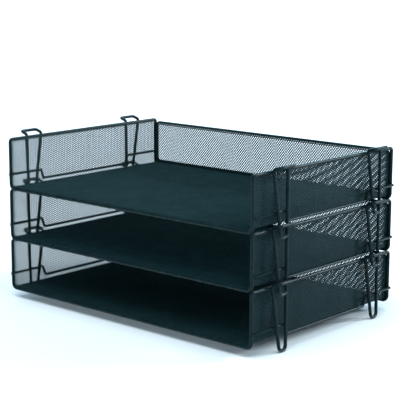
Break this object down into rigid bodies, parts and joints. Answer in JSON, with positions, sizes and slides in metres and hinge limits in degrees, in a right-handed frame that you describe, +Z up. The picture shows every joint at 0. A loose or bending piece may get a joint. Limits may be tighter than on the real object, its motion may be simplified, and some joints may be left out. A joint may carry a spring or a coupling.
{
  "type": "letter tray",
  "caption": "Stackable wire-mesh letter trays with open fronts, bent wire frames and hairpin legs whose feet drop into eyes on the tray below.",
  "frame": {"origin": "centre of the stack's footprint, on the surface that the feet stand on", "axes": "+X along the width towards the right side as seen from the open front, +Y towards the back panel, +Z up through the stack"},
  "size_m": [0.363, 0.2318, 0.181],
  "materials": {
    "frame_wire": "black powder coat, satin",
    "leg_wire": "black powder coat, satin",
    "mesh": "black powder coat on expanded steel mesh, satin"
  },
  "bodies": {
    "lower_tray": {"lower_frame_wire": "frame_wire", "lower_mesh_wrap": "mesh", "lower_back_frame": "frame_wire", "lower_back_mesh": "mesh", "lower_left_rail": "frame_wire", "lower_right_rail": "frame_wire", "lower_left_front_leg": "leg_wire", "lower_left_rear_leg": "leg_wire", "lower_right_front_leg": "leg_wire", "lower_right_rear_leg": "leg_wire"},
    "middle_tray": {"middle_frame_wire": "frame_wire", "middle_mesh_wrap": "mesh", "middle_back_frame": "frame_wire", "middle_back_mesh": "mesh", "middle_left_rail": "frame_wire", "middle_right_rail": "frame_wire", "middle_left_front_leg": "leg_wire", "middle_left_rear_leg": "leg_wire", "middle_right_front_leg": "leg_wire", "middle_right_rear_leg": "leg_wire"},
    "top_tray": {"top_frame_wire": "frame_wire", "top_mesh_wrap": "mesh", "top_back_frame": "frame_wire", "top_back_mesh": "mesh", "top_left_rail": "frame_wire", "top_right_rail": "frame_wire", "top_left_front_leg": "leg_wire", "top_left_rear_leg": "leg_wire", "top_right_front_leg": "leg_wire", "top_right_rear_leg": "leg_wire"}
  },
  "joints": [
    {"name": "middle_tray_lift", "type": "slide", "parent": "lower_tray", "child": "middle_tray", "axis": [0, 0, 1], "range_m": [0, 0.08]},
    {"name": "top_tray_lift", "type": "slide", "parent": "middle_tray", "child": "top_tray", "axis": [0, 0, 1], "range_m": [0, 0.08]}
  ]
}
